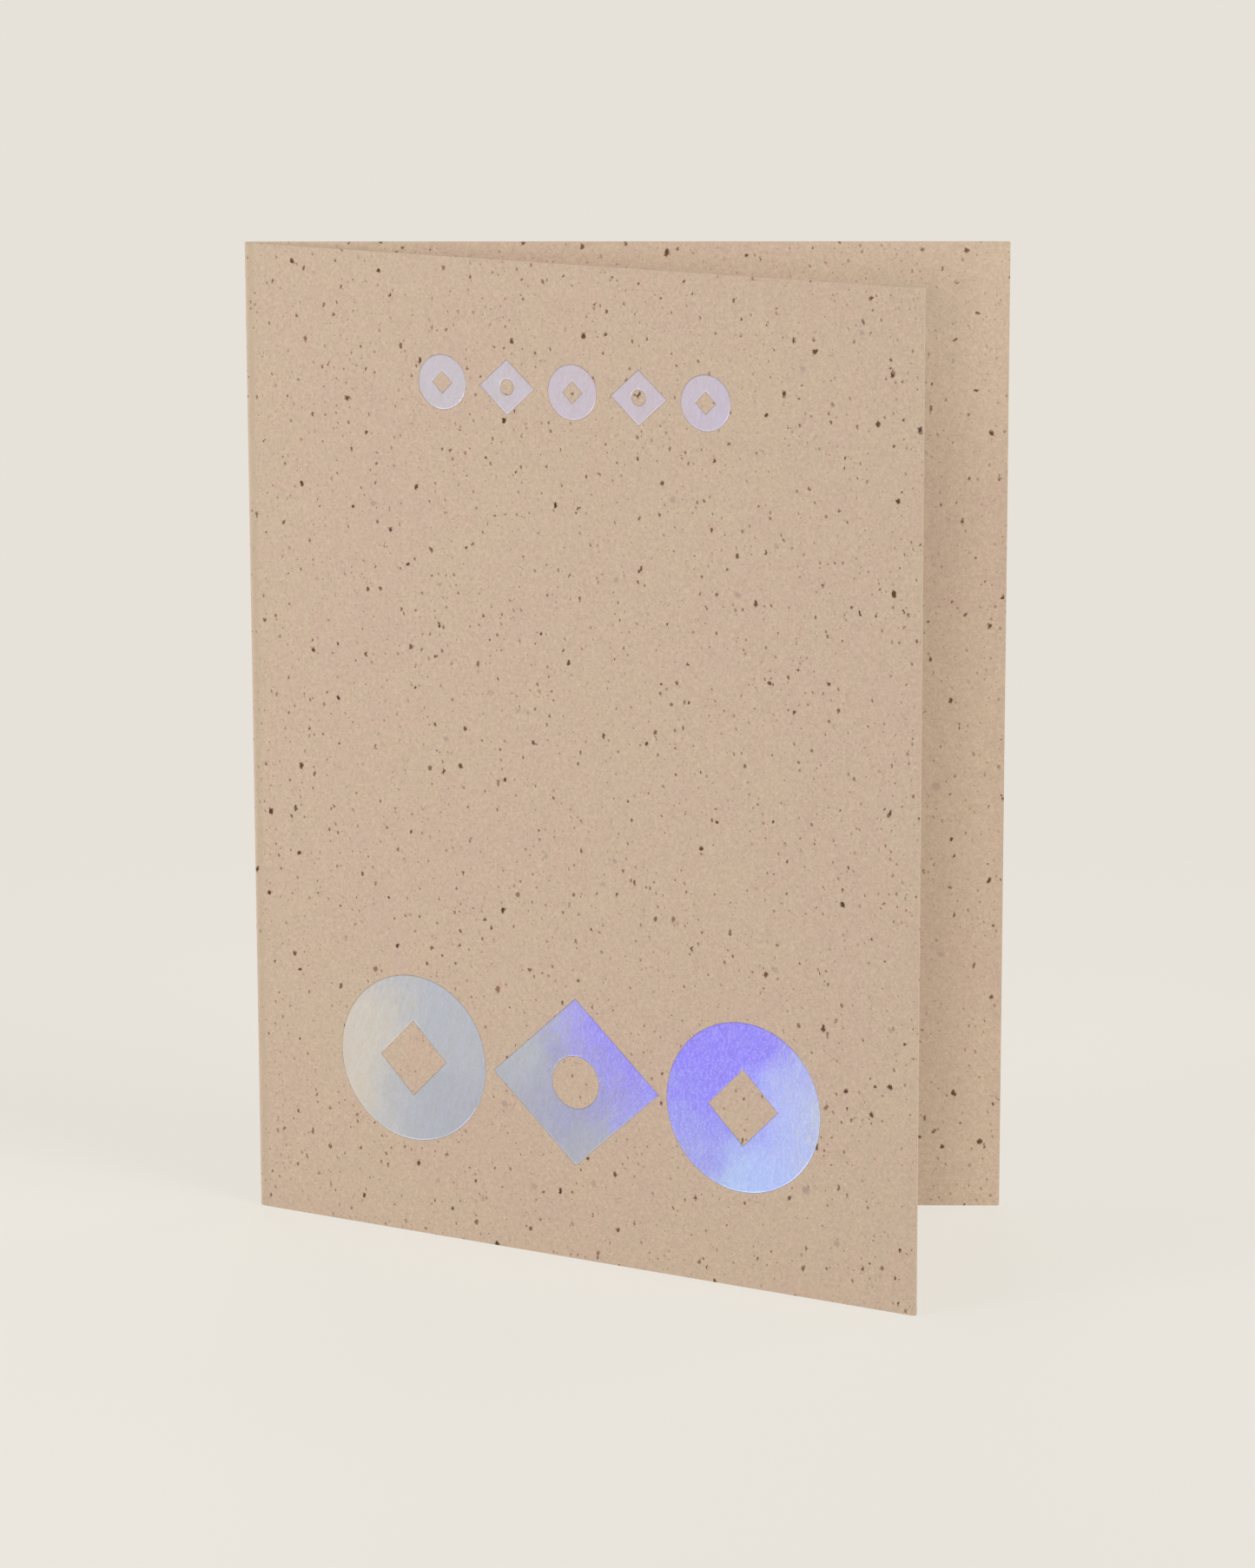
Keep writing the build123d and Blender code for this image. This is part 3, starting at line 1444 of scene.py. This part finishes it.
@dataclass(frozen=True)
class Studio:
    """The plain studio: a pale floor that runs out to a backdrop of its own colour, and soft light.

    Lengths are metres, the camera's angles degrees.
    """

    backdrop: Colour = tint(231, 226, 217)
    floor_colour: Colour = tint(226, 221, 212)
    floor_size: float = 12.0
    floor_sides: int = 64
    floor_fade: tuple[float, float] = (0.09, 0.30)
    floor_glow: float = 0.7
    near_glow: Colour = (0.925, 0.887, 0.818)
    sky: Colour = WHITE
    sky_strength: float = 0.32
    lamps: tuple[Softbox | DistantLamp, ...] = (
        Softbox("left_softbox", in_gloss=False, place=(-0.30, -0.20, 0.18), size=0.28, power=0.245),
        DistantLamp("key", in_gloss=False, azimuth=-7.6, elevation=4.5, spread=9.0, strength=0.42),
        DistantLamp(
            "right_fill", in_gloss=True, azimuth=55.0, elevation=18.0, spread=30.0, strength=2.16,
            colour=(0.965, 1.0, 0.965),
        ),
        DistantLamp("back_fill", in_gloss=False, azimuth=188.0, elevation=15.0, spread=30.0, strength=0.9),
        DistantLamp("inside_fill", in_gloss=False, azimuth=120.0, elevation=15.0, spread=30.0, strength=0.5),
        DistantLamp("left_rim", in_gloss=True, azimuth=-92.0, elevation=4.0, spread=16.0, strength=0.50),
        DistantLamp("upper_rim", in_gloss=True, azimuth=-62.0, elevation=26.0, spread=14.0, strength=0.34),
    )
    camera_place: Place = (0.0161, -0.7441, 0.2297)
    camera_pitch: float = 12.25
    camera_yaw: float = -1.21
    camera_roll: float = -0.16
    nearest_seen: float = 0.01
    farthest_seen: float = 50.0
    focal_pixels: float = 6360.0
    frame_pixels: float = 1806.0
    sensor: float = 36.0

    def build(self) -> None:
        """Sets up the floor, the world, the lamps and the camera."""
        self.add_floor()
        self.add_world()
        for lamp in self.lamps:
            lamp.hang()
        self.add_camera()

    def shown_rays(self, board: Board) -> Signal:
        """Finds the rays that see a surface as the backdrop: the camera's, and those in gloss and glass.

        Args:
            board: The board to work on.

        Returns:
            1 for such a ray, or else 0.
        """
        camera = board.node("LightPath", {}, {}, "Is Camera Ray")
        shown = board.maths("MAXIMUM", camera, camera.sibling("Is Glossy Ray"))
        return board.maths("MAXIMUM", shown, camera.sibling("Is Transmission Ray"))

    def add_floor(self) -> None:
        """Lays the floor: real near the card, where its shadow falls, and plain backdrop far off."""
        floor = Bench.start(
            bpy.ops.mesh.primitive_circle_add,
            vertices=self.floor_sides, radius=self.floor_size / 2, fill_type="NGON",
        ).piece
        floor.name = "floor"
        material = bpy.data.materials.new("pale_floor")
        board = Board(material)
        place = board.node("TexCoord", {}, {}, "Object")
        distance = board.node("VectorMath", {"operation": "LENGTH"}, {0: place}, "Value")
        shown = self.shown_rays(board)
        real = board.node("BsdfDiffuse", {}, {"Color": self.floor_colour})
        glow = board.node("Emission", {}, {"Color": self.near_glow, "Strength": 1.0})
        near = board.node("MixShader", {}, {0: shown * self.floor_glow, 1: real, 2: glow})
        plain = board.node("Emission", {}, {"Color": self.backdrop, "Strength": 1.0})
        far = board.step(distance, *self.floor_fade) * shown
        shader = board.node("MixShader", {}, {0: far, 1: near, 2: plain})
        board.node("OutputMaterial", {}, {"Surface": shader})
        floor.data.materials.append(material)

    def add_world(self) -> None:
        """Makes the world: soft even light, seen as the backdrop's own colour."""
        world = bpy.data.worlds.new("studio")
        bpy.context.scene.world = world
        board = Board(world)
        light = board.node("Background", {}, {"Color": self.sky, "Strength": self.sky_strength})
        seen = board.node("Background", {}, {"Color": self.backdrop, "Strength": 1.0})
        shader = board.node("MixShader", {}, {0: self.shown_rays(board), 1: light, 2: seen})
        board.node("OutputWorld", {}, {"Surface": shader})

    def add_camera(self) -> None:
        """Sets the camera at the photograph's viewing angle."""
        data = bpy.data.cameras.new("camera")
        data.sensor_width = self.sensor
        data.lens = self.sensor * self.focal_pixels / self.frame_pixels
        data.clip_start = self.nearest_seen
        data.clip_end = self.farthest_seen
        camera = bpy.data.objects.new("camera", data)
        bpy.context.scene.collection.objects.link(camera)
        pitch, yaw, roll = (math.radians(a) for a in (self.camera_pitch, self.camera_yaw, self.camera_roll))
        turn = Matrix.Rotation(-yaw, 4, "Z") @ Matrix.Rotation(math.pi / 2 - pitch, 4, "X")
        camera.matrix_world = Matrix.Translation(self.camera_place) @ turn @ Matrix.Rotation(roll, 4, "Z")
        bpy.context.scene.camera = camera


def hand_over(piece: bpy.types.Object, node: str) -> None:
    """Finishes a piece's mesh, and gives the piece its place in the model.

    Args:
        piece: The piece, in millimetres, with its material.
        node: The CAD node that it stands for.
    """
    bench = Bench(piece)
    bench.to_metres()
    bpy.ops.object.shade_smooth_by_angle(angle=math.radians(SMOOTH_BELOW))
    bench.apply(Step.WEIGH_NORMALS, mode="FACE_AREA", keep_sharp=True)
    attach(piece, "root")
    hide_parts(node)
    log.info("%s: %d faces", piece.name, len(piece.data.polygons))


def main() -> None:
    """Builds the card, its foil and the studio, and logs what its steps pick."""
    logging.basicConfig(level=logging.INFO, format="%(message)s")
    bpy.context.scene.view_settings.view_transform = "Standard"
    sizes = CardSizes()
    folded = FoldedSheet(sizes, (LARGE_ROW, SMALL_ROW))
    skins = (
        FoilSkin(sizes, LARGE_ROW, LARGE_ROW_FOIL, "foil_large_row"),
        FoilSkin(sizes, SMALL_ROW, SMALL_ROW_FOIL, "foil_small_row"),
    )
    sheet = folded.build()
    foils = [skin.build(sheet) for skin in skins]
    folded.dress(sheet)
    hand_over(sheet, "folded_card")
    for skin, foil in zip(skins, foils):
        skin.dress(foil)
        hand_over(foil, skin.node)
    Studio().build()


if __name__ == "__main__":
    main()
